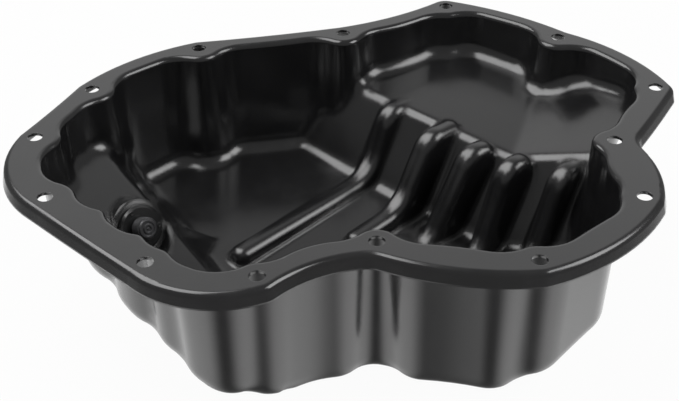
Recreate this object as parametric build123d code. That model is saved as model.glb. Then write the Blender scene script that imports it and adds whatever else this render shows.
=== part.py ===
from build123d import *
import math
import os

os.makedirs("parts", exist_ok=True)

# ---- sheet and rim ----
SHEET = 1.5
LUG_R = 8.8
RAIL_BLEND = 14.0
POCKET_BLEND = 20.0
BOLT_HOLE_D = 7.5
WALL_DRAFT = 3.0
BEND_R = 3.0
LIP_FLARE = 1.6
LIP_DROP = 7.5
LIP_BEND_R = 3.2

# Each bolt: x, y, bulge of the rim and of the pocket on the way to the next
# bolt, and how far the wall keeps clear of this bolt's centre.
BOLTS = [
    (-82.4, 81.5, 5.4, 1.9, 12.0),
    (-135.4, 37.2, -0.5, -5.0, 12.0),
    (-157.0, -10.3, 8.2, -1.0, 13.0),
    (-142.7, -63.7, 0.3, -9.0, 14.0),
    (-90.3, -115.1, 8.5, 4.5, 12.5),
    (-41.2, -126.1, -6.0, -11.5, 11.0),
    (10.8, -102.0, 5.5, -4.5, 10.5),
    (80.9, -117.6, 6.5, -1.5, 12.0),
    (135.7, -69.8, 5.0, -10.0, 11.3),
    (130.6, -20.7, 0.5, -6.5, 11.0),
    (161.3, 31.0, 6.5, 4.5, 11.5),
    (118.2, 88.7, 4.0, 2.3, 11.5),
    (58.4, 129.4, -3.5, -7.0, 11.0),
    (-2.2, 97.1, -1.0, -3.0, 11.0),
]

# Flutes pressed into the front left wall: x and y of each centre, and the radius.
FLUTE_R = 5.0
FLUTES = [(-118.2, -77.3), (-97.5, -97.6), (-73.1, -121.8)]

# ---- pressed floors: planes on the inner face, each through a point ----
PRISM_DEPTH = 125.0
SUMP = Plane(origin=(0, 52, -71), z_dir=(0.03, -0.13, 1))
FRONT_FLOOR = Plane(origin=(30, -100, -88.5), z_dir=(0, 0, 1))
RIGHT_RISE = Plane(origin=(98, -95, -79), z_dir=(-0.33, -0.07, 1))
PANEL = Plane(origin=(-133.5, -62, -39), z_dir=(0.448, -0.139, 1))
PANEL_DROP = Plane(origin=(-93, -16, -51), z_dir=(0.76, 0.40, 0.55))
PLATEAU = Plane(origin=(57, 45, -34), z_dir=(0, -0.12, 1))
SHELF = Plane(origin=(95, 50, -34), z_dir=(-0.33, 0, 1))
STEP = Plane(origin=(50.5, 35.2, -55), z_dir=(-0.507, -0.702, 0.5))
RIDGE_R = 8.0
VALLEY_R = 9.0
FOOT_R = 9.0
BLOCK = 700.0
ON_PLANE = 0.01

# Beads: points along the crest of each one, its radius and how tightly it
# turns over the step and at the foot of the step.
BEAD_R = 6.5
CREST_TURN_R = 15.0
FOOT_TURN_R = 22.0
ROUND_SHARE = 0.9
FIN_FOOT = -130.0
BEADS = [
    [(40, 82, -31), (19.9, 63, -29.5), (8.6, 52.2, -66.5), (-57, -10, -70)],
    [(55, 49.2, -31), (41, 36, -30), (24.8, 20.9, -67.5), (4, 1.3, -70)],
    [(71, 27.2, -31), (61.4, 20, -30), (39.8, 3.8, -79), (24, -8.1, -86)],
    [(89.5, 13.6, -31), (79.5, 4.8, -30), (65.3, -7.9, -80), (50, -21.5, -88)],
    [(116.5, 4, -29), (106.5, -4.7, -28.5), (93, -16.3, -76), (76, -31, -88)],
]

# ---- drain: pad face centre on the inside and the axis pointing inward ----
DRAIN_CENTRE = (-107.6, -24.4, -46.5)
DRAIN_AXIS = (0.58, -0.70, 0.41)
PAD_R = 15.0
PAD_LENGTH = 24.0
DRAIN_HOLE_R = 6.4
NUT_R = 11.8
NUT_THICK = 3.0
NUT_BEVEL = 1.0
THREAD_R = 5.95
BORE_R = 6.0
PLUG_REACH = 10.0
PLUG_CHAMFER = 1.2
WASHER_R = 10.5
WASHER_THICK = 1.5
WASHER_PLAY = 0.2
FLANGE_R = 11.0
FLANGE_THICK = 2.5
HEX_FLATS = 17.0
HEX_THICK = 7.0

# Dart that stiffens the foot of the panel: its top and its two flanks meet in
# a nose out on the floor.
DART_NOSE = (-72, 3.7, -74.5)
DART_TOP = Plane(origin=DART_NOSE, z_dir=(0.71, 0.09, 0.70))
DART_FRONT = Plane(origin=DART_NOSE, z_dir=(0.90, -0.35, 0.26))
DART_BACK = Plane(origin=DART_NOSE, z_dir=(-0.17, 0.87, 0.47))


def rail(bulge):
    """Closed loop of arcs through the bolt centres."""
    edges = []
    for here, after in zip(BOLTS, BOLTS[1:] + BOLTS[:1]):
        start = Vector(here[0], here[1])
        run = Vector(after[0], after[1]) - start
        out = Vector(run.Y, -run.X).normalized()
        middle = start + run * 0.5 + out * here[bulge]
        edges.append(ThreePointArc(start, middle, start + run))
    return make_face(edges)


def grown(face, amount):
    return offset(face, amount, kind=Kind.ARC)


def rim_outline():
    lugged = grown(rail(2), LUG_R)
    return grown(grown(lugged, RAIL_BLEND), -RAIL_BLEND)


def pocket_outline():
    """Pocket in plan: the wall steps round each bolt and bows out between them."""
    face = rail(3)
    for x, y, _, _, clear in BOLTS:
        face -= Pos(x, y) * Circle(clear)
    for x, y in FLUTES:
        face -= Pos(x, y) * Circle(FLUTE_R)
    face = face.faces().sort_by(SortBy.AREA)[-1]
    return grown(grown(face, -POCKET_BLEND), POCKET_BLEND)


def under(plane, grow):
    """Everything below a sloping floor, whose face drops by the sheet when grown."""
    return plane.offset(-grow).location * Box(
        BLOCK, BLOCK, BLOCK, align=(Align.CENTER, Align.CENTER, Align.MAX)
    )


def crease(body, one, other, grow):
    """The edges along which two of the floors meet."""
    picked = []
    for edge in body.edges():
        ends = [edge.position_at(0), edge.position_at(1)]
        planes = [one.offset(-grow), other.offset(-grow)]
        if all(abs(plane.to_local_coords(p).Z) < ON_PLANE for plane in planes for p in ends):
            picked.append(edge)
    return picked


RIDGES = [(PLATEAU, STEP), (SHELF, STEP), (PANEL, PANEL_DROP)]
VALLEYS = [
    (PLATEAU, SHELF),
    (SUMP, STEP),
    (RIGHT_RISE, STEP),
    (SUMP, RIGHT_RISE),
    (SUMP, PANEL),
    (SUMP, PANEL_DROP),
    (SUMP, FRONT_FLOOR),
    (RIGHT_RISE, FRONT_FLOOR),
    (PANEL, FRONT_FLOOR),
]


def ground(grow):
    """All the floors as one solid, with their ridges and valleys rounded."""
    body = under(SUMP, grow) + under(FRONT_FLOOR, grow)
    body += under(RIGHT_RISE, grow)
    body += under(PANEL, grow) & under(PANEL_DROP, grow)
    body += (under(PLATEAU, grow) + under(SHELF, grow)) & under(STEP, grow)
    ridges = [edge for pair in RIDGES for edge in crease(body, *pair, grow)]
    body = fillet(ridges, RIDGE_R - grow)
    valleys = [edge for pair in VALLEYS for edge in crease(body, *pair, grow)]
    return fillet(valleys, VALLEY_R + grow)


def dart(grow):
    """Stiffening wedge under the edge of the panel, down to a nose on the floor."""
    body = under(DART_TOP, grow) & under(DART_FRONT, grow)
    return body & under(DART_BACK, grow) & under(PANEL, grow)


def bead(crest, grow):
    """A full-round fin whose crest follows a bent line in one vertical plane."""
    radius = BEAD_R - grow
    start = Vector(*crest[0])
    end = Vector(*crest[-1])
    run = Vector(end.X - start.X, end.Y - start.Y).normalized()
    plane = Plane(origin=(start.X, start.Y, 0), x_dir=run, z_dir=run.cross(Vector(0, 0, 1)))
    along = [Vector(x - start.X, y - start.Y).dot(run) for x, y, _ in crest]
    heights = [z - grow for _, _, z in crest]
    first = (along[0] - radius, heights[0])
    last = (along[-1] + radius, heights[-1])
    turns = list(zip(along[1:-1], heights[1:-1]))
    line = FilletPolyline(first, *turns, last, radius=(CREST_TURN_R - grow, FOOT_TURN_R + grow))
    sides = Polyline(last, (last[0], FIN_FOOT), (first[0], FIN_FOOT), first)
    profile = plane * make_face([*line.edges(), *sides.edges()])
    fin = extrude(profile, amount=radius, both=True)
    uprights = [e for e in fin.edges() if is_upright(e)]
    fin = fillet(uprights, radius * ROUND_SHARE)
    crests = [e for e in fin.edges() if e.center().Z > FIN_FOOT + SHEET and not is_upright(e)]
    return fillet(crests, radius * ROUND_SHARE * ROUND_SHARE)


def is_upright(edge):
    return edge.geom_type == GeomType.LINE and abs(edge.tangent_at(0.5).Z) > 0.999


def drain_plane():
    return Plane(origin=DRAIN_CENTRE, z_dir=DRAIN_AXIS)


def wall_foot(body):
    """Edges where the drafted walls meet the floors."""
    top = body.faces().sort_by(Axis.Z)[-1]
    walls = [f for f in body.faces() if f.bounding_box().max.Z > -ON_PLANE and not f.is_same(top)]
    uses = {}
    for face in walls:
        for edge in face.edges():
            uses[edge] = uses.get(edge, 0) + 1
    top_edges = set(top.edges())
    return [edge for edge, count in uses.items() if count == 1 and edge not in top_edges]


def cavity(grow):
    """What the pan holds; grown by the sheet it is the outside of the pan."""
    outline = pocket_outline()
    if grow:
        outline = grown(outline, grow)
    walls = extrude(outline, amount=-PRISM_DEPTH, taper=WALL_DRAFT)
    body = walls - ground(grow)
    body = fillet(wall_foot(body), FOOT_R + grow)
    body -= dart(grow)
    pad = drain_plane().offset(-grow).location
    over = (Align.CENTER, Align.CENTER, Align.MIN)
    below = (Align.CENTER, Align.CENTER, Align.MAX)
    body += pad * Cylinder(PAD_R + grow, PAD_LENGTH, align=over) & walls
    body -= pad * Cylinder(PAD_R - grow, PAD_LENGTH, align=below)
    for crest in BEADS:
        body -= bead(crest, grow)
    return body


def skirt(inset, top):
    """The rim and its turned-down lip as a solid block, set in by the inset."""
    outline = rim_outline()
    if inset:
        outline = grown(outline, -inset)
    flare = math.degrees(math.atan2(LIP_FLARE, LIP_DROP))
    return Pos(0, 0, top) * extrude(outline, amount=-LIP_DROP, taper=-flare)


def level_edges(body, height):
    """Edges lying in the level plane at this height."""
    picked = []
    for edge in body.edges():
        box = edge.bounding_box()
        if abs(box.min.Z - height) < ON_PLANE and abs(box.max.Z - height) < ON_PLANE:
            picked.append(edge)
    return picked


def pan_shell():
    lip = skirt(0, 0)
    lip = fillet(level_edges(lip, 0), LIP_BEND_R)
    body = lip - skirt(SHEET, -SHEET) + cavity(SHEET) - cavity(0)
    pocket = pocket_outline().wires()[0]
    inner = [e for e in level_edges(body, 0) if pocket.distance_to(e.position_at(0.5)) < ON_PLANE]
    body = fillet(inner, BEND_R)
    for x, y, *_ in BOLTS:
        body -= Pos(x, y, -SHEET / 2) * Cylinder(BOLT_HOLE_D / 2, 4 * SHEET)
    return body - drain_plane().location * Cylinder(DRAIN_HOLE_R, 4 * SHEET)


def drain_nut():
    base = (Align.CENTER, Align.CENTER, Align.MIN)
    body = Cylinder(NUT_R, NUT_THICK, align=base) - Cylinder(BORE_R, 3 * NUT_THICK)
    rim = body.edges().filter_by(GeomType.CIRCLE).group_by(Axis.Z)[-1].sort_by(SortBy.LENGTH)[-1]
    return drain_plane().location * chamfer(rim, NUT_BEVEL)


def drain_plug():
    """Hexagon head, flange and plain shank, from outside in."""
    base = (Align.CENTER, Align.CENTER, Align.MIN)
    seat = -SHEET - WASHER_THICK
    body = Pos(0, 0, seat) * Cylinder(THREAD_R, PLUG_REACH - seat, align=base)
    tip = body.edges().filter_by(GeomType.CIRCLE).group_by(Axis.Z)[-1]
    body = chamfer(tip, PLUG_CHAMFER)
    body += Pos(0, 0, seat - FLANGE_THICK) * Cylinder(FLANGE_R, FLANGE_THICK, align=base)
    hexagon = RegularPolygon(HEX_FLATS / 2, 6, major_radius=False)
    head = Pos(0, 0, seat - FLANGE_THICK - HEX_THICK) * extrude(hexagon, HEX_THICK)
    return drain_plane().location * (body + head)


def drain_gasket():
    base = (Align.CENTER, Align.CENTER, Align.MIN)
    ring = Cylinder(WASHER_R, WASHER_THICK, align=base) - Cylinder(BORE_R + WASHER_PLAY, 3 * WASHER_THICK)
    return drain_plane().location * Pos(0, 0, -SHEET - WASHER_THICK) * ring


pieces = {
    "pan_shell": pan_shell(),
    "drain_nut": drain_nut(),
    "drain_plug": drain_plug(),
    "drain_gasket": drain_gasket(),
}
# The row's origin is the centre of the pan's footprint, at its lowest point.
footprint = Compound([s for piece in pieces.values() for s in piece.solids()]).bounding_box()
origin = Vector(footprint.center().X, footprint.center().Y, footprint.min.Z)
for name, piece in pieces.items():
    export_step(piece.moved(Location(-origin)), f"parts/{name}.step")
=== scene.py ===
import logging
import math
from dataclasses import dataclass
from enum import Enum

import bmesh
import bpy
from mathutils import Matrix, Vector


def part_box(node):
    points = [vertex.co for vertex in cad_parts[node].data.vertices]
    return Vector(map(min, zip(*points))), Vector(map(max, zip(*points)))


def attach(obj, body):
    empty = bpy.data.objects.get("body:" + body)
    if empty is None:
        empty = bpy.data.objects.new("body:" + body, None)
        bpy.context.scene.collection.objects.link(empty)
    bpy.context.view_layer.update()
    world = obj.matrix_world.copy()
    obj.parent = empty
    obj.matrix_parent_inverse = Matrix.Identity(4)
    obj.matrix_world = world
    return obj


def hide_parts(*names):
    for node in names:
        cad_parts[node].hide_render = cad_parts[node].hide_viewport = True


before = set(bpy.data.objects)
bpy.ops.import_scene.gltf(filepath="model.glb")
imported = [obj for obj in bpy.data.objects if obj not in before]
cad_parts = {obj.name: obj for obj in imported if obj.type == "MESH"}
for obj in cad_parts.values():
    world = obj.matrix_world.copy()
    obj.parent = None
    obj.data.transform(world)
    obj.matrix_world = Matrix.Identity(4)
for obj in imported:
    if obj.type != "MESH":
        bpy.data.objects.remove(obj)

LOG = logging.getLogger("oil_pan")
MM = 0.001
FULL_TURN = 2 * math.pi
SHARP_ANGLE = math.radians(35)
WHITE = (1.0, 1.0, 1.0, 1.0)
MID_GREY = (0.5, 0.5, 0.5, 1.0)
Strength = float | bpy.types.NodeSocket


class Slot(Enum):
    """Finish names from the record. Nothing in the script uses them."""

    COAT = "black_coat"
    PLUG = "plug_steel"


@dataclass(frozen=True)
class CoatFinish:
    """Gloss black electrocoat over pressed steel, with a thin film of dust.

    The shader rounds edges and roots by root_soft low in the pan and by rim_soft near the gasket face.
    """

    name: str = "black electrocoat"
    colour: tuple = (0.0105, 0.0105, 0.011, 1.0)
    film_colour: tuple = (0.030, 0.030, 0.031, 1.0)
    roughness_low: float = 0.15
    roughness_high: float = 0.25
    specular: float = 0.95
    peel_scale: float = 420.0
    peel_strength: float = 0.035
    film_scale: float = 30.0
    film_share: float = 0.25
    rim_soft: float = 0.0005
    root_soft: float = 0.0046
    rim_band: float = 0.006
    soft_samples: int = 8


@dataclass(frozen=True)
class MetalFinish:
    """Bare or plated metal with a fine grain and a little grime."""

    name: str
    colour: tuple
    grime_colour: tuple
    metallic: float
    roughness_low: float
    roughness_high: float
    grain_scale: float = 900.0
    grain_strength: float = 0.05
    grime_scale: float = 160.0
    grime_share: float = 0.5
    edge_soft: float = 0.0003
    edge_samples: int = 4


@dataclass(frozen=True)
class Mottle:
    """What every finish's mottling has in common: noise detail and the spans that become masks."""

    cloud_detail: float = 6.0
    cloud_roughness: float = 0.62
    speck_detail: float = 2.0
    film_span: tuple = (0.42, 0.78)
    rough_span: tuple = (0.35, 0.70)
    grain_depth: float = 0.0002


ELECTROCOAT = CoatFinish()
NUT_COAT = CoatFinish(name="crisp electrocoat", root_soft=0.00015)
ZINC_PLATE = MetalFinish(
    name="dark zinc plate",
    colour=(0.12, 0.12, 0.125, 1.0),
    grime_colour=(0.03, 0.028, 0.026, 1.0),
    metallic=0.9,
    roughness_low=0.28,
    roughness_high=0.45,
)
ALUMINIUM = MetalFinish(
    name="plain aluminium",
    colour=(0.62, 0.62, 0.63, 1.0),
    grime_colour=(0.2, 0.19, 0.18, 1.0),
    metallic=1.0,
    roughness_low=0.3,
    roughness_high=0.5,
)


class SurfaceGroup:
    """Shader node group that every finish shares: mottled colour, roughness and a fine grain."""

    INPUTS = (
        ("Base", "NodeSocketColor", MID_GREY),
        ("Film", "NodeSocketColor", MID_GREY),
        ("Film Scale", "NodeSocketFloat", 30.0),
        ("Film Share", "NodeSocketFloat", 0.3),
        ("Rough Low", "NodeSocketFloat", 0.2),
        ("Rough High", "NodeSocketFloat", 0.3),
        ("Grain Scale", "NodeSocketFloat", 400.0),
        ("Grain Strength", "NodeSocketFloat", 0.02),
        ("Normal", "NodeSocketVector", (0.0, 0.0, 0.0)),
    )
    OUTPUTS = (
        ("Color", "NodeSocketColor"),
        ("Roughness", "NodeSocketFloat"),
        ("Normal", "NodeSocketVector"),
    )

    def __init__(self, mottle: Mottle) -> None:
        """Build the group with its named inputs and outputs.

        Args:
            mottle: What every finish's mottling has in common.
        """
        self.tree = bpy.data.node_groups.new("mottled surface", "ShaderNodeTree")
        face = self.tree.interface
        for name, kind, value in self.INPUTS:
            socket = face.new_socket(name=name, in_out="INPUT", socket_type=kind)
            socket.default_value = value
        for name, kind in self.OUTPUTS:
            face.new_socket(name=name, in_out="OUTPUT", socket_type=kind)
        self.wire(mottle)

    def wire(self, mottle: Mottle) -> None:
        """Place and join the nodes inside the group.

        Args:
            mottle: What every finish's mottling has in common.
        """
        nodes = self.tree.nodes
        link = self.tree.links.new
        given = nodes.new("NodeGroupInput")
        out = nodes.new("NodeGroupOutput")
        place = nodes.new("ShaderNodeTexCoord")
        cloud = nodes.new("ShaderNodeTexNoise")
        cloud.inputs["Detail"].default_value = mottle.cloud_detail
        cloud.inputs["Roughness"].default_value = mottle.cloud_roughness
        speck = nodes.new("ShaderNodeTexNoise")
        speck.inputs["Detail"].default_value = mottle.speck_detail
        share = nodes.new("ShaderNodeMapRange")
        share.inputs["From Min"].default_value = mottle.film_span[0]
        share.inputs["From Max"].default_value = mottle.film_span[1]
        rough = nodes.new("ShaderNodeMapRange")
        rough.inputs["From Min"].default_value = mottle.rough_span[0]
        rough.inputs["From Max"].default_value = mottle.rough_span[1]
        colour = nodes.new("ShaderNodeMix")
        colour.data_type = "RGBA"
        bump = nodes.new("ShaderNodeBump")
        bump.inputs["Distance"].default_value = mottle.grain_depth
        link(place.outputs["Object"], cloud.inputs["Vector"])
        link(place.outputs["Object"], speck.inputs["Vector"])
        link(given.outputs["Film Scale"], cloud.inputs["Scale"])
        link(given.outputs["Grain Scale"], speck.inputs["Scale"])
        link(cloud.outputs["Fac"], share.inputs["Value"])
        link(given.outputs["Film Share"], share.inputs["To Max"])
        link(share.outputs["Result"], colour.inputs["Factor"])
        link(given.outputs["Base"], colour.inputs["A"])
        link(given.outputs["Film"], colour.inputs["B"])
        link(colour.outputs["Result"], out.inputs["Color"])
        link(cloud.outputs["Fac"], rough.inputs["Value"])
        link(given.outputs["Rough Low"], rough.inputs["To Min"])
        link(given.outputs["Rough High"], rough.inputs["To Max"])
        link(rough.outputs["Result"], out.inputs["Roughness"])
        link(speck.outputs["Fac"], bump.inputs["Height"])
        link(given.outputs["Grain Strength"], bump.inputs["Strength"])
        link(given.outputs["Normal"], bump.inputs["Normal"])
        link(bump.outputs["Normal"], out.inputs["Normal"])

    def place_in(self, tree: bpy.types.NodeTree, values: dict) -> bpy.types.Node:
        """Put the group in a material and join it to the material's shader.

        Args:
            tree: The material's nodes.
            values: What each named input is set to.

        Returns:
            The placed node.
        """
        node = tree.nodes.new("ShaderNodeGroup")
        node.node_tree = self.tree
        for name, value in values.items():
            node.inputs[name].default_value = value
        shader = tree.nodes["Principled BSDF"]
        tree.links.new(node.outputs["Color"], shader.inputs["Base Color"])
        tree.links.new(node.outputs["Roughness"], shader.inputs["Roughness"])
        tree.links.new(node.outputs["Normal"], shader.inputs["Normal"])
        return node


def coat_material(finish: CoatFinish, surface: SurfaceGroup, rim_height: float) -> bpy.types.Material:
    """Make the electrocoat, which gathers in the roots of ribs and softens them.

    Args:
        finish: The colours and sizes of the finish.
        surface: The shared group.
        rim_height: Height of the gasket face, near which edges stay crisp.

    Returns:
        The material.
    """
    material = bpy.data.materials.new(finish.name)
    material.use_nodes = True
    tree = material.node_tree
    shader = tree.nodes["Principled BSDF"]
    shader.inputs["Specular IOR Level"].default_value = finish.specular
    node = surface.place_in(tree, {
        "Base": finish.colour,
        "Film": finish.film_colour,
        "Film Scale": finish.film_scale,
        "Film Share": finish.film_share,
        "Rough Low": finish.roughness_low,
        "Rough High": finish.roughness_high,
        "Grain Scale": finish.peel_scale,
        "Grain Strength": finish.peel_strength,
    })
    place = tree.nodes.new("ShaderNodeTexCoord")
    axes = tree.nodes.new("ShaderNodeSeparateXYZ")
    radius = tree.nodes.new("ShaderNodeMapRange")
    radius.inputs["From Min"].default_value = rim_height - 2 * finish.rim_band
    radius.inputs["From Max"].default_value = rim_height - finish.rim_band
    radius.inputs["To Min"].default_value = finish.root_soft
    radius.inputs["To Max"].default_value = finish.rim_soft
    soft = tree.nodes.new("ShaderNodeBevel")
    soft.samples = finish.soft_samples
    tree.links.new(place.outputs["Object"], axes.inputs["Vector"])
    tree.links.new(axes.outputs["Z"], radius.inputs["Value"])
    tree.links.new(radius.outputs["Result"], soft.inputs["Radius"])
    tree.links.new(soft.outputs["Normal"], node.inputs["Normal"])
    return material


def metal_material(finish: MetalFinish, surface: SurfaceGroup) -> bpy.types.Material:
    """Make a plated or plain metal with grain and grime.

    Args:
        finish: The colours and sizes of the finish.
        surface: The shared group.

    Returns:
        The material.
    """
    material = bpy.data.materials.new(finish.name)
    material.use_nodes = True
    tree = material.node_tree
    tree.nodes["Principled BSDF"].inputs["Metallic"].default_value = finish.metallic
    node = surface.place_in(tree, {
        "Base": finish.colour,
        "Film": finish.grime_colour,
        "Film Scale": finish.grime_scale,
        "Film Share": finish.grime_share,
        "Rough Low": finish.roughness_low,
        "Rough High": finish.roughness_high,
        "Grain Scale": finish.grain_scale,
        "Grain Strength": finish.grain_strength,
    })
    soft = tree.nodes.new("ShaderNodeBevel")
    soft.samples = finish.edge_samples
    soft.inputs["Radius"].default_value = finish.edge_soft
    tree.links.new(soft.outputs["Normal"], node.inputs["Normal"])
    return material


@dataclass
class DrainFitting:
    """Threaded drain plug, and the marks on the weld nut that it screws into.

    Lengths are in metres. Heights run along the plug's axis, which points into the pan, from the pan's
    inner face. Each tip ring is a radius in fifths of the thread's root and a depth below the tip in edge
    widths. Each point of a mark is a radius and a height in parts of the mark's own radius and rise.
    """

    axis: tuple = (0.58, -0.70, 0.41)
    nut_thick: float = 3.0 * MM
    seat: float = -3.0 * MM
    collar_r: float = 11.0 * MM
    collar_thick: float = 2.5 * MM
    hex_sides: int = 6
    hex_flats: float = 17.0 * MM
    hex_thick: float = 7.0 * MM
    edge: float = 0.5 * MM
    edge_segments: int = 3
    crest_r: float = 5.95 * MM
    root_r: float = 5.05 * MM
    pitch: float = 1.5 * MM
    flat_share: float = 0.125
    lead_turns: int = 2
    seam_gap: float = 0.0075 * MM
    thread_end: float = 8.8 * MM
    tip: float = 10.0 * MM
    tip_fifths: int = 5
    tip_rings: tuple = (
        (3.6, 1.0), (3.4, 1.6), (2.6, 1.6), (2.4, 0.4), (1.7, 0.4),
        (1.4, 1.5), (0.7, 1.5), (0.4, 0.8), (0.0, 0.8),
    )
    turn_steps: int = 48
    mark_r: float = 1.4 * MM
    mark_ring_r: float = 9.6 * MM
    mark_rise: float = 0.5 * MM
    mark_turn_deg: float = 108.0
    mark_count: int = 3
    mark_points: tuple = (
        (0.0, -1.0), (1.0, -1.0), (1.0, 0.0), (0.8, 1.0), (0.5, 1.0), (0.35, 0.3), (0.0, 0.3),
    )
    merge_gap: float = 0.002 * MM

    def frame_of(self) -> Matrix:
        """Work out where the plug's axis meets the pan's inner face, from the weld nut.

        Returns:
            The matrix from the plug's own frame to the pan's.
        """
        low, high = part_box("drain_nut")
        axis = Vector(self.axis).normalized()
        middle = (Vector(low) + Vector(high)) / 2
        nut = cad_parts["drain_nut"]
        base = min((nut.matrix_world @ vert.co).dot(axis) for vert in nut.data.vertices)
        side = Vector((0, 0, 1)).cross(axis).normalized()
        up = axis.cross(side)
        turn = Matrix((side, up, axis)).transposed().to_4x4()
        return Matrix.Translation(middle + axis * (base - middle.dot(axis))) @ turn

    def spun(self, bm: bmesh.types.BMesh, profile: list[tuple[float, float]]) -> None:
        """Turn a profile round the axis and add it to a mesh.

        Args:
            bm: The mesh.
            profile: Radius and height of each point, from the axis and back to it.
        """
        points = [bm.verts.new((r, 0, z)) for r, z in profile]
        edges = [bm.edges.new(pair) for pair in zip(points, points[1:])]
        bmesh.ops.spin(
            bm, geom=points + edges, cent=(0, 0, 0), axis=(0, 0, 1), dvec=(0, 0, 0),
            angle=FULL_TURN, steps=self.turn_steps, use_merge=True, use_duplicate=False,
        )

    def head(self, bm: bmesh.types.BMesh) -> None:
        """Add the hexagon with its bevelled edges.

        Args:
            bm: The mesh.
        """
        across = self.hex_flats / math.sqrt(3)
        centre = self.seat - self.collar_thick - self.hex_thick / 2
        made = bmesh.ops.create_cone(
            bm, cap_ends=True, segments=self.hex_sides, radius1=across, radius2=across,
            depth=self.hex_thick, matrix=Matrix.Translation((0, 0, centre)),
        )
        edges = {edge for vert in made["verts"] for edge in vert.link_edges}
        bmesh.ops.bevel(
            bm, geom=list(edges), offset=self.edge, offset_type="OFFSET", segments=self.edge_segments,
            profile=0.5, affect="EDGES", material=-1,
        )

    def thread(self, bm: bmesh.types.BMesh) -> None:
        """Add the helical thread, trimmed at the collar and near the tip.

        Args:
            bm: The mesh.
        """
        flat = self.pitch * self.flat_share
        start = self.seat - self.lead_turns * self.pitch
        turns = math.ceil((self.thread_end - start) / self.pitch) + 1
        profile = [(self.root_r, start)]
        for k in range(turns):
            low = start + k * self.pitch
            profile += [
                (self.root_r, low + flat),
                (self.crest_r, low + self.pitch / 2 - flat / 2),
                (self.crest_r, low + self.pitch / 2 + flat / 2),
                (self.root_r, low + self.pitch),
            ]
        points = [bm.verts.new((r, 0, z)) for r, z in profile]
        edges = [bm.edges.new(pair) for pair in zip(points, points[1:])]
        bmesh.ops.spin(
            bm, geom=points + edges, cent=(0, 0, 0), axis=(0, 0, 1),
            dvec=(0, 0, self.pitch / self.turn_steps), angle=FULL_TURN,
            steps=self.turn_steps, use_merge=False, use_duplicate=False,
        )
        bmesh.ops.remove_doubles(bm, verts=bm.verts[:], dist=self.seam_gap)
        for height, way in ((self.seat - self.edge, -1), (self.thread_end, 1)):
            cut = bmesh.ops.bisect_plane(
                bm, geom=bm.verts[:] + bm.edges[:] + bm.faces[:], plane_co=(0, 0, height),
                plane_no=(0, 0, way), clear_outer=True,
            )
            rim = [e for e in cut["geom_cut"] if isinstance(e, bmesh.types.BMEdge)]
            bmesh.ops.edgeloop_fill(bm, edges=rim)

    def plug(self, at: Matrix) -> bpy.types.Object:
        """Build the plug: head, collar, thread and ringed tip.

        Args:
            at: The matrix from the plug's own frame to the pan's.

        Returns:
            The plug.
        """
        bm = bmesh.new()
        self.thread(bm)
        collar_low = self.seat - self.collar_thick
        self.spun(bm, [
            (0, collar_low), (self.collar_r - self.edge, collar_low),
            (self.collar_r, collar_low + self.edge), (self.collar_r, self.seat - self.edge / 2),
            (self.collar_r - self.edge / 2, self.seat), (0, self.seat),
        ])
        neck = self.thread_end - self.edge
        step = self.root_r / self.tip_fifths
        rings = [(radius * step, self.tip - depth * self.edge) for radius, depth in self.tip_rings]
        self.spun(bm, [
            (0, neck), (self.root_r, neck), (self.root_r, self.tip - 2 * self.edge),
            (self.root_r - self.edge, self.tip - self.edge), *rings,
        ])
        self.head(bm)
        return self.finished(bm, "threaded_drain_plug", at)

    def marks(self, at: Matrix) -> bpy.types.Object:
        """Build the small rings that the welding projections left on the nut.

        Args:
            at: The matrix from the plug's own frame to the pan's.

        Returns:
            The marks.
        """
        bm = bmesh.new()
        profile = [(radius * self.mark_r, height * self.mark_rise) for radius, height in self.mark_points]
        for k in range(self.mark_count):
            before = set(bm.verts)
            self.spun(bm, profile)
            turn = math.radians(self.mark_turn_deg) + k * FULL_TURN / self.mark_count
            shift = Vector((math.cos(turn), math.sin(turn), 0)) * self.mark_ring_r
            shift.z = self.nut_thick
            bmesh.ops.translate(bm, verts=[v for v in bm.verts if v not in before], vec=shift)
        return self.finished(bm, "nut_weld_marks", at)

    def finished(self, bm: bmesh.types.BMesh, name: str, at: Matrix) -> bpy.types.Object:
        """Close a mesh, turn its faces outwards and make its object.

        Args:
            bm: The mesh, which is freed.
            name: What the piece is called.
            at: The matrix from the plug's own frame to the pan's.

        Returns:
            The piece, riding on the pan.
        """
        bmesh.ops.remove_doubles(bm, verts=bm.verts[:], dist=self.merge_gap)
        bmesh.ops.recalc_face_normals(bm, faces=bm.faces[:])
        bmesh.ops.transform(bm, matrix=at, verts=bm.verts[:])
        mesh = bpy.data.meshes.new(name)
        bm.to_mesh(mesh)
        bm.free()
        mesh.shade_smooth()
        mesh.set_sharp_from_angle(angle=SHARP_ANGLE)
        piece = bpy.data.objects.new(name, mesh)
        bpy.context.collection.objects.link(piece)
        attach(piece, "root")
        return piece

    def build(self, plug_finish: bpy.types.Material, coat: bpy.types.Material) -> None:
        """Make the plug and the marks and dress them.

        Args:
            plug_finish: The plug's material.
            coat: The material of the welded nut.
        """
        at = self.frame_of()
        plug = self.plug(at)
        plug.data.materials.append(plug_finish)
        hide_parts("drain_plug")
        LOG.info("built %s", plug.name)
        marks = self.marks(at)
        marks.data.materials.append(coat)
        LOG.info("built %s", marks.name)


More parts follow.
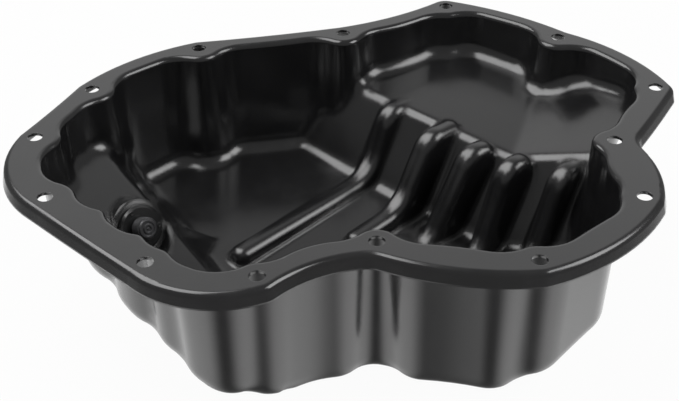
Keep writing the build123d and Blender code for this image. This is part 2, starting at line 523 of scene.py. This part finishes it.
@dataclass
class Studio:
    """Floor, backdrop, lamps and camera.

    Lengths are in metres, in the frame of the pan. The sweep and the wings are what the gloss sees in the
    room. Each of their pairs holds the direction's component at which the light is nothing, then full.
    """

    floor_half: float = 6.0
    floor_colour: tuple = (0.82, 0.82, 0.82, 1.0)
    shown_white: float = 1.0
    white_share: float = 0.96
    soft_light: float = 0.28
    dim_light: float = 0.28
    sweep_light: float = 1.0
    sweep_high: tuple = (1.0, 0.50)
    sweep_back: tuple = (0.15, 0.80)
    sweep_side: tuple = (0.55, 0.25)
    wing_light: float = 1.9
    wing_low: tuple = (-0.35, -0.58)
    wing_side: tuple = (0.06, 0.58)
    lamp_reach: float = 1.35
    right_way: tuple = (0.75, -0.15, 0.68)
    right_size: tuple = (0.75, 0.75)
    right_watts: float = 7.0
    left_way: tuple = (-0.50, 0.15, 0.85)
    left_size: tuple = (1.05, 1.05)
    left_watts: float = 12.0
    camera_height: float = 0.3495
    camera_reach: float = 0.5085
    camera_side: float = -0.0064
    aim_y: float = -0.06975
    roll_deg: float = -0.8
    lens_mm: float = 70.78
    sensor_mm: float = 36.0
    clip: tuple = (0.01, 50.0)

    def build(self, rim_height: float) -> None:
        """Make the whole studio.

        Args:
            rim_height: Height of the gasket face above the floor.
        """
        self.floor()
        self.world()
        self.lamps()
        self.camera(rim_height)

    def floor(self) -> None:
        """Lay a pale floor that shows white and keeps the shadow. The gloss sees the room through it."""
        bpy.ops.mesh.primitive_plane_add(size=2 * self.floor_half, location=(0, 0, 0))
        plane = bpy.context.object
        plane.name = "studio_floor"
        material = bpy.data.materials.new("pale floor")
        material.use_nodes = True
        tree = material.node_tree
        tree.nodes.clear()
        out = tree.nodes.new("ShaderNodeOutputMaterial")
        mix = tree.nodes.new("ShaderNodeMixShader")
        matt = tree.nodes.new("ShaderNodeBsdfDiffuse")
        glow = tree.nodes.new("ShaderNodeEmission")
        path = tree.nodes.new("ShaderNodeLightPath")
        matt.inputs["Color"].default_value = self.floor_colour
        glow.inputs["Color"].default_value = WHITE
        glow.inputs["Strength"].default_value = self.shown_white
        clear = tree.nodes.new("ShaderNodeBsdfTransparent")
        past = tree.nodes.new("ShaderNodeMixShader")
        through = self.blend(tree, path.outputs["Is Transmission Ray"], 0.0, self.white_share)
        share = self.blend(tree, path.outputs["Is Camera Ray"], through, self.white_share)
        tree.links.new(share, mix.inputs["Fac"])
        tree.links.new(path.outputs["Is Glossy Ray"], past.inputs["Fac"])
        tree.links.new(matt.outputs[0], mix.inputs[1])
        tree.links.new(glow.outputs[0], mix.inputs[2])
        tree.links.new(mix.outputs[0], past.inputs[1])
        tree.links.new(clear.outputs[0], past.inputs[2])
        tree.links.new(past.outputs[0], out.inputs["Surface"])
        plane.data.materials.append(material)

    def world(self) -> None:
        """Show white to the camera. The gloss sees a dim room, a sweep behind and wings at the sides."""
        world = bpy.data.worlds.new("soft studio")
        bpy.context.scene.world = world
        world.use_nodes = True
        tree = world.node_tree
        tree.nodes.clear()
        out = tree.nodes.new("ShaderNodeOutputWorld")
        lit = tree.nodes.new("ShaderNodeBackground")
        path = tree.nodes.new("ShaderNodeLightPath")
        way = tree.nodes.new("ShaderNodeTexCoord")
        axes = tree.nodes.new("ShaderNodeSeparateXYZ")
        side = tree.nodes.new("ShaderNodeMath")
        side.operation = "ABSOLUTE"
        tree.links.new(way.outputs["Generated"], axes.inputs["Vector"])
        tree.links.new(axes.outputs["X"], side.inputs[0])
        sweep = self.product(tree, [
            self.fade(tree, axes.outputs["Z"], self.sweep_high),
            self.fade(tree, axes.outputs["Y"], self.sweep_back),
            self.fade(tree, side.outputs[0], self.sweep_side),
        ])
        wing = self.product(tree, [
            self.fade(tree, axes.outputs["Z"], self.wing_low),
            self.fade(tree, side.outputs[0], self.wing_side),
        ])
        backed = self.blend(tree, sweep, self.dim_light, self.sweep_light)
        gloss = self.blend(tree, wing, backed, self.wing_light)
        gathered = self.blend(tree, path.outputs["Is Glossy Ray"], self.soft_light, gloss)
        through = self.blend(tree, path.outputs["Is Transmission Ray"], gathered, self.shown_white)
        seen = self.blend(tree, path.outputs["Is Camera Ray"], through, self.shown_white)
        tree.links.new(seen, lit.inputs["Strength"])
        tree.links.new(lit.outputs[0], out.inputs["Surface"])

    def product(self, tree: bpy.types.NodeTree, values: list) -> bpy.types.NodeSocket:
        """Multiply several masks.

        Args:
            tree: The world's nodes.
            values: The masks.

        Returns:
            Their product.
        """
        total = values[0]
        for value in values[1:]:
            node = tree.nodes.new("ShaderNodeMath")
            node.operation = "MULTIPLY"
            tree.links.new(total, node.inputs[0])
            tree.links.new(value, node.inputs[1])
            total = node.outputs[0]
        return total

    def fade(
        self, tree: bpy.types.NodeTree, value: bpy.types.NodeSocket, ends: tuple,
    ) -> bpy.types.NodeSocket:
        """Fade smoothly between nothing and one along one direction of the room.

        Args:
            tree: The world's nodes.
            value: The direction's component.
            ends: Where the fade gives 0 and where it gives 1.

        Returns:
            The faded value.
        """
        ramp = tree.nodes.new("ShaderNodeMapRange")
        ramp.interpolation_type = "SMOOTHSTEP"
        ramp.inputs["From Min"].default_value = ends[0]
        ramp.inputs["From Max"].default_value = ends[1]
        tree.links.new(value, ramp.inputs["Value"])
        return ramp.outputs["Result"]

    def blend(
        self, tree: bpy.types.NodeTree, share: bpy.types.NodeSocket, low: Strength, high: Strength,
    ) -> bpy.types.NodeSocket:
        """Blend two strengths, each a number or a socket.

        Args:
            tree: The nodes of the world or of the floor's material.
            share: How much of the second is taken.
            low: The first strength.
            high: The second strength.

        Returns:
            The blended strength.
        """
        node = tree.nodes.new("ShaderNodeMix")
        tree.links.new(share, node.inputs["Factor"])
        for name, value in (("A", low), ("B", high)):
            if isinstance(value, float):
                node.inputs[name].default_value = value
            else:
                tree.links.new(value, node.inputs[name])
        return node.outputs["Result"]

    def lamp(self, name: str, way: tuple, size: tuple, watts: float) -> None:
        """Hang one soft box that faces the pan.

        Args:
            name: What the lamp is called.
            way: The direction from the pan to the lamp.
            size: Its width and height.
            watts: Its power.
        """
        data = bpy.data.lights.new(name, "AREA")
        data.shape = "RECTANGLE"
        data.size, data.size_y = size
        data.energy = watts
        lamp = bpy.data.objects.new(name, data)
        bpy.context.collection.objects.link(lamp)
        lamp.location = Vector(way).normalized() * self.lamp_reach
        lamp.rotation_euler = (-lamp.location).to_track_quat("-Z", "Y").to_euler()

    def lamps(self) -> None:
        """Hang a soft box on each side of the pan."""
        self.lamp("right soft box", self.right_way, self.right_size, self.right_watts)
        self.lamp("left soft box", self.left_way, self.left_size, self.left_watts)

    def camera(self, rim_height: float) -> None:
        """Set the camera in front, above the rim, looking down into the pan.

        Args:
            rim_height: Height of the gasket face above the floor.
        """
        data = bpy.data.cameras.new("camera")
        data.lens = self.lens_mm
        data.sensor_width = self.sensor_mm
        data.sensor_fit = "HORIZONTAL"
        data.clip_start, data.clip_end = self.clip
        camera = bpy.data.objects.new("camera", data)
        bpy.context.collection.objects.link(camera)
        aim = Vector((self.camera_side, self.aim_y, rim_height))
        place = aim + Vector((0, -self.camera_reach, self.camera_height))
        turn = (aim - place).to_track_quat("-Z", "Y").to_matrix().to_4x4()
        roll = Matrix.Rotation(math.radians(self.roll_deg), 4, "Z")
        camera.matrix_world = Matrix.Translation(place) @ turn @ roll
        bpy.context.scene.camera = camera


def dress(node_name: str, material: bpy.types.Material) -> None:
    """Give a node of the frame its material.

    Args:
        node_name: The node's name.
        material: The material.
    """
    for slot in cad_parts[node_name].material_slots:
        slot.material = material
    LOG.info("dressed %s", node_name)


def main() -> None:
    """Dress the pan, build the drain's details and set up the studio."""
    logging.basicConfig(level=logging.INFO, format="%(message)s")
    bpy.context.scene.view_settings.view_transform = "Standard"
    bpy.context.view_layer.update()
    rim_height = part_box("pan_shell")[1][2]
    surface = SurfaceGroup(Mottle())
    coat = coat_material(ELECTROCOAT, surface, rim_height)
    nut_coat = coat_material(NUT_COAT, surface, rim_height)
    plated = metal_material(ZINC_PLATE, surface)
    plain = metal_material(ALUMINIUM, surface)
    dress("pan_shell", coat)
    dress("drain_nut", nut_coat)
    dress("drain_gasket", plain)
    DrainFitting().build(plated, nut_coat)
    Studio().build(rim_height)


if __name__ == "__main__":
    main()
